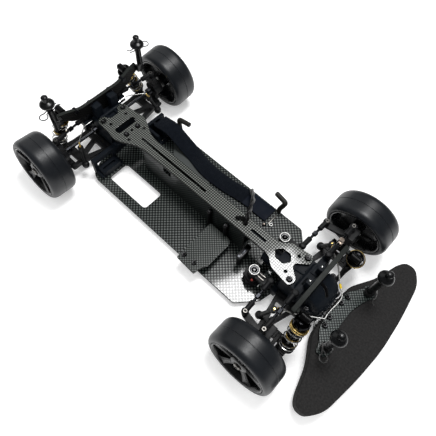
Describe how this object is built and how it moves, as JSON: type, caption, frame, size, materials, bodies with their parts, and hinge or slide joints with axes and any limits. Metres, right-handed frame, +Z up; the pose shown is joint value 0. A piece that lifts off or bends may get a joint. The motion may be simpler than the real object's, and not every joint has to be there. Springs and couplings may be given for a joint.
{
  "type": "rc drift car chassis",
  "caption": "Radio-controlled drift car chassis: carbon decks, coil-over double-wishbone suspension, bellcrank steering, slick tyres and a foam bumper.",
  "frame": {"origin": "on the ground under the middle of the overall length, width centred", "axes": "+X forward to the bumper, +Y to the left of the car, +Z up"},
  "size_m": [0.3668, 0.193, 0.099],
  "materials": {
    "carbon": "woven carbon fibre sheet, satin clear coat",
    "moulded_plastic": "black fibre-filled moulded plastic, satin",
    "gear_case": "blue-black moulded plastic, satin",
    "tyre_rubber": "smooth hard drift tyre, satin charcoal",
    "wheel_plastic": "gloss black moulded plastic",
    "black_alloy": "black anodised aluminium",
    "bright_steel": "polished steel",
    "foam": "charcoal closed-cell foam, matte with a fine grain",
    "webbing": "black hook-and-loop webbing"
  },
  "bodies": {
    "chassis": {"lower_deck": "carbon", "upper_deck": "carbon", "centre_spine": "carbon", "front_gear_case": "gear_case", "rear_gear_case": "gear_case", "front_shock_tower": "carbon", "rear_shock_tower": "carbon", "bumper_support_plate": "carbon", "foam_bumper": "foam", "electronics_plate": "carbon", "rear_bracket_left": "moulded_plastic", "rear_bracket_right": "moulded_plastic", "battery_strap": "webbing", "battery_hook_front": "carbon", "battery_hook_rear": "carbon", "front_body_post_left": "moulded_plastic", "front_body_post_right": "moulded_plastic", "rear_body_post_left": "moulded_plastic", "rear_body_post_right": "moulded_plastic"},
    "arm_front_left": {"lower_arm_front_left": "moulded_plastic"},
    "hub_carrier_front_left": {"hub_carrier_front_left": "moulded_plastic"},
    "link_front_left": {"upper_link_front_left": "black_alloy"},
    "shock_front_left": {"shock_body_front_left": "black_alloy", "spring_front_left": "bright_steel"},
    "shaft_front_left": {"shock_shaft_front_left": "bright_steel"},
    "knuckle_left": {"steering_knuckle_left": "moulded_plastic"},
    "wheel_front_left": {"tyre_front_left": "tyre_rubber", "rim_front_left": "wheel_plastic"},
    "arm_rear_left": {"lower_arm_rear_left": "moulded_plastic"},
    "hub_rear_left": {"hub_rear_left": "moulded_plastic"},
    "link_rear_left": {"upper_link_rear_left": "black_alloy"},
    "shock_rear_left": {"shock_body_rear_left": "black_alloy", "spring_rear_left": "bright_steel"},
    "shaft_rear_left": {"shock_shaft_rear_left": "bright_steel"},
    "wheel_rear_left": {"tyre_rear_left": "tyre_rubber", "rim_rear_left": "wheel_plastic"},
    "arm_front_right": {"lower_arm_front_right": "moulded_plastic"},
    "hub_carrier_front_right": {"hub_carrier_front_right": "moulded_plastic"},
    "link_front_right": {"upper_link_front_right": "black_alloy"},
    "shock_front_right": {"shock_body_front_right": "black_alloy", "spring_front_right": "bright_steel"},
    "shaft_front_right": {"shock_shaft_front_right": "bright_steel"},
    "knuckle_right": {"steering_knuckle_right": "moulded_plastic"},
    "wheel_front_right": {"tyre_front_right": "tyre_rubber", "rim_front_right": "wheel_plastic"},
    "arm_rear_right": {"lower_arm_rear_right": "moulded_plastic"},
    "hub_rear_right": {"hub_rear_right": "moulded_plastic"},
    "link_rear_right": {"upper_link_rear_right": "black_alloy"},
    "shock_rear_right": {"shock_body_rear_right": "black_alloy", "spring_rear_right": "bright_steel"},
    "shaft_rear_right": {"shock_shaft_rear_right": "bright_steel"},
    "wheel_rear_right": {"tyre_rear_right": "tyre_rubber", "rim_rear_right": "wheel_plastic"},
    "bellcrank_left": {"bellcrank_left": "moulded_plastic"},
    "tie_rod_left": {"tie_rod_left": "moulded_plastic"},
    "drive_shaft_left": {"drive_shaft_rear_left": "bright_steel"},
    "bellcrank_right": {"bellcrank_right": "moulded_plastic"},
    "tie_rod_right": {"tie_rod_right": "moulded_plastic"},
    "drive_shaft_right": {"drive_shaft_rear_right": "bright_steel"},
    "drag_link": {"drag_link": "carbon"}
  },
  "joints": [
    {"name": "arm_front_left_swing", "type": "hinge", "parent": "chassis", "child": "arm_front_left", "pos_m": [0.10515, 0.017, 0.014], "axis": [1, 0, 0], "range_deg": [0, 8], "stiffness_Nm_per_rad": 2, "springref_deg": -11.46},
    {"name": "hub_carrier_front_left_pivot", "type": "hinge", "parent": "arm_front_left", "child": "hub_carrier_front_left", "pos_m": [0.10515, 0.058, 0.014], "axis": [1, 0, 0], "range_deg": [-8, 0]},
    {"name": "link_front_left_swing", "type": "hinge", "parent": "chassis", "child": "link_front_left", "pos_m": [0.10265, 0.0225, 0.055], "axis": [1, 0, 0], "range_deg": [0, 8.66]},
    {"name": "shock_front_left_pivot", "type": "hinge", "parent": "chassis", "child": "shock_front_left", "pos_m": [0.12065, 0.0335, 0.058], "axis": [1, 0, 0], "range_deg": [0, 2.12]},
    {"name": "shaft_front_left_stroke", "type": "slide", "parent": "shock_front_left", "child": "shaft_front_left", "axis": [-0.0688, -0.4698, 0.8801], "range_m": [0, 0.00511], "deforming": ["spring_front_left"]},
    {"name": "knuckle_left_steer", "type": "hinge", "parent": "hub_carrier_front_left", "child": "knuckle_left", "pos_m": [0.10515, 0.06, 0.032], "axis": [0, 0, 1], "range_deg": [-22, 22]},
    {"name": "wheel_front_left_spin", "type": "hinge", "parent": "knuckle_left", "child": "wheel_front_left", "pos_m": [0.10515, 0.081, 0.03222], "axis": [0, 0.9962, 0.0872], "continuous": true},
    {"name": "arm_rear_left_swing", "type": "hinge", "parent": "chassis", "child": "arm_rear_left", "pos_m": [-0.15185, 0.017, 0.014], "axis": [1, 0, 0], "range_deg": [0, 8], "stiffness_Nm_per_rad": 2, "springref_deg": -11.46},
    {"name": "hub_rear_left_pivot", "type": "hinge", "parent": "arm_rear_left", "child": "hub_rear_left", "pos_m": [-0.15185, 0.058, 0.014], "axis": [1, 0, 0], "range_deg": [-8, 0]},
    {"name": "link_rear_left_swing", "type": "hinge", "parent": "chassis", "child": "link_rear_left", "pos_m": [-0.16135, 0.0215, 0.0435], "axis": [1, 0, 0], "range_deg": [0, 8.25]},
    {"name": "shock_rear_left_pivot", "type": "hinge", "parent": "chassis", "child": "shock_rear_left", "pos_m": [-0.17035, 0.0385, 0.06], "axis": [1, 0, 0], "range_deg": [0, 1.15]},
    {"name": "shaft_rear_left_stroke", "type": "slide", "parent": "shock_rear_left", "child": "shaft_rear_left", "axis": [-0.0233, -0.3612, 0.9322], "range_m": [0, 0.00527], "deforming": ["spring_rear_left"]},
    {"name": "wheel_rear_left_spin", "type": "hinge", "parent": "hub_rear_left", "child": "wheel_rear_left", "pos_m": [-0.15185, 0.081, 0.03222], "axis": [0, 0.9962, 0.0872], "continuous": true},
    {"name": "arm_front_right_swing", "type": "hinge", "parent": "chassis", "child": "arm_front_right", "pos_m": [0.10515, -0.017, 0.014], "axis": [-1, 0, 0], "range_deg": [0, 8], "stiffness_Nm_per_rad": 2, "springref_deg": -11.46},
    {"name": "hub_carrier_front_right_pivot", "type": "hinge", "parent": "arm_front_right", "child": "hub_carrier_front_right", "pos_m": [0.10515, -0.058, 0.014], "axis": [-1, 0, 0], "range_deg": [-8, 0]},
    {"name": "link_front_right_swing", "type": "hinge", "parent": "chassis", "child": "link_front_right", "pos_m": [0.10265, -0.0225, 0.055], "axis": [-1, 0, 0], "range_deg": [0, 8.66]},
    {"name": "shock_front_right_pivot", "type": "hinge", "parent": "chassis", "child": "shock_front_right", "pos_m": [0.12065, -0.0335, 0.058], "axis": [-1, 0, 0], "range_deg": [0, 2.12]},
    {"name": "shaft_front_right_stroke", "type": "slide", "parent": "shock_front_right", "child": "shaft_front_right", "axis": [-0.0688, 0.4698, 0.8801], "range_m": [0, 0.00511], "deforming": ["spring_front_right"]},
    {"name": "knuckle_right_steer", "type": "hinge", "parent": "hub_carrier_front_right", "child": "knuckle_right", "pos_m": [0.10515, -0.06, 0.032], "axis": [0, 0, 1], "range_deg": [-22, 22]},
    {"name": "wheel_front_right_spin", "type": "hinge", "parent": "knuckle_right", "child": "wheel_front_right", "pos_m": [0.10515, -0.081, 0.03222], "axis": [0, 0.9962, -0.0872], "continuous": true},
    {"name": "arm_rear_right_swing", "type": "hinge", "parent": "chassis", "child": "arm_rear_right", "pos_m": [-0.15185, -0.017, 0.014], "axis": [-1, 0, 0], "range_deg": [0, 8], "stiffness_Nm_per_rad": 2, "springref_deg": -11.46},
    {"name": "hub_rear_right_pivot", "type": "hinge", "parent": "arm_rear_right", "child": "hub_rear_right", "pos_m": [-0.15185, -0.058, 0.014], "axis": [-1, 0, 0], "range_deg": [-8, 0]},
    {"name": "link_rear_right_swing", "type": "hinge", "parent": "chassis", "child": "link_rear_right", "pos_m": [-0.16135, -0.0215, 0.0435], "axis": [-1, 0, 0], "range_deg": [0, 8.25]},
    {"name": "shock_rear_right_pivot", "type": "hinge", "parent": "chassis", "child": "shock_rear_right", "pos_m": [-0.17035, -0.0385, 0.06], "axis": [-1, 0, 0], "range_deg": [0, 1.15]},
    {"name": "shaft_rear_right_stroke", "type": "slide", "parent": "shock_rear_right", "child": "shaft_rear_right", "axis": [-0.0233, 0.3612, 0.9322], "range_m": [0, 0.00527], "deforming": ["spring_rear_right"]},
    {"name": "wheel_rear_right_spin", "type": "hinge", "parent": "hub_rear_right", "child": "wheel_rear_right", "pos_m": [-0.15185, -0.081, 0.03222], "axis": [0, 0.9962, -0.0872], "continuous": true},
    {"name": "steering", "type": "hinge", "parent": "chassis", "child": "bellcrank_left", "pos_m": [0.06265, 0.0214, 0.02], "axis": [0, 0, 1], "range_deg": [-30, 30]},
    {"name": "tie_rod_left_travel", "type": "slide", "parent": "arm_front_left", "child": "tie_rod_left", "axis": [0, 1, 0], "range_m": [-0.009, 0.009]},
    {"name": "drive_shaft_left_swing", "type": "hinge", "parent": "chassis", "child": "drive_shaft_left", "pos_m": [-0.15185, 0.018, 0.03004], "axis": [1, 0, 0], "range_deg": [0, 8.95]},
    {"name": "bellcrank_right_turn", "type": "hinge", "parent": "chassis", "child": "bellcrank_right", "pos_m": [0.06265, -0.0214, 0.02], "axis": [0, 0, 1], "range_deg": [-30, 30]},
    {"name": "tie_rod_right_travel", "type": "slide", "parent": "arm_front_right", "child": "tie_rod_right", "axis": [0, 1, 0], "range_m": [-0.009, 0.009]},
    {"name": "drive_shaft_right_swing", "type": "hinge", "parent": "chassis", "child": "drive_shaft_right", "pos_m": [-0.15185, -0.018, 0.03004], "axis": [-1, 0, 0], "range_deg": [0, 8.95]},
    {"name": "drag_link_pivot", "type": "hinge", "parent": "bellcrank_left", "child": "drag_link", "pos_m": [0.07315, 0.0214, 0.022], "axis": [0, 0, 1], "range_deg": [-30, 30]}
  ],
  "couplings": [
    {"joint": "hub_carrier_front_left_pivot", "follows": "arm_front_left_swing", "ratio": -1},
    {"joint": "link_front_left_swing", "follows": "arm_front_left_swing", "ratio": 1.0759},
    {"joint": "shock_front_left_pivot", "follows": "arm_front_left_swing", "ratio": 0.2593},
    {"joint": "shaft_front_left_stroke", "follows": "arm_front_left_swing", "m_per_rad": 0.03585},
    {"joint": "knuckle_left_steer", "follows": "steering", "ratio": -0.73},
    {"joint": "hub_rear_left_pivot", "follows": "arm_rear_left_swing", "ratio": -1},
    {"joint": "link_rear_left_swing", "follows": "arm_rear_left_swing", "ratio": 1.0245},
    {"joint": "shock_rear_left_pivot", "follows": "arm_rear_left_swing", "ratio": 0.1377},
    {"joint": "shaft_rear_left_stroke", "follows": "arm_rear_left_swing", "m_per_rad": 0.03704},
    {"joint": "hub_carrier_front_right_pivot", "follows": "arm_front_right_swing", "ratio": -1},
    {"joint": "link_front_right_swing", "follows": "arm_front_right_swing", "ratio": 1.0759},
    {"joint": "shock_front_right_pivot", "follows": "arm_front_right_swing", "ratio": 0.2593},
    {"joint": "shaft_front_right_stroke", "follows": "arm_front_right_swing", "m_per_rad": 0.03585},
    {"joint": "knuckle_right_steer", "follows": "steering", "ratio": -0.73},
    {"joint": "hub_rear_right_pivot", "follows": "arm_rear_right_swing", "ratio": -1},
    {"joint": "link_rear_right_swing", "follows": "arm_rear_right_swing", "ratio": 1.0245},
    {"joint": "shock_rear_right_pivot", "follows": "arm_rear_right_swing", "ratio": 0.1377},
    {"joint": "shaft_rear_right_stroke", "follows": "arm_rear_right_swing", "m_per_rad": 0.03704},
    {"joint": "tie_rod_left_travel", "follows": "steering", "m_per_rad": 0.0167},
    {"joint": "drive_shaft_left_swing", "follows": "arm_rear_left_swing", "ratio": 1.11},
    {"joint": "bellcrank_right_turn", "follows": "steering", "ratio": 1},
    {"joint": "tie_rod_right_travel", "follows": "steering", "m_per_rad": 0.0167},
    {"joint": "drive_shaft_right_swing", "follows": "arm_rear_right_swing", "ratio": 1.11},
    {"joint": "drag_link_pivot", "follows": "steering", "ratio": -1}
  ]
}
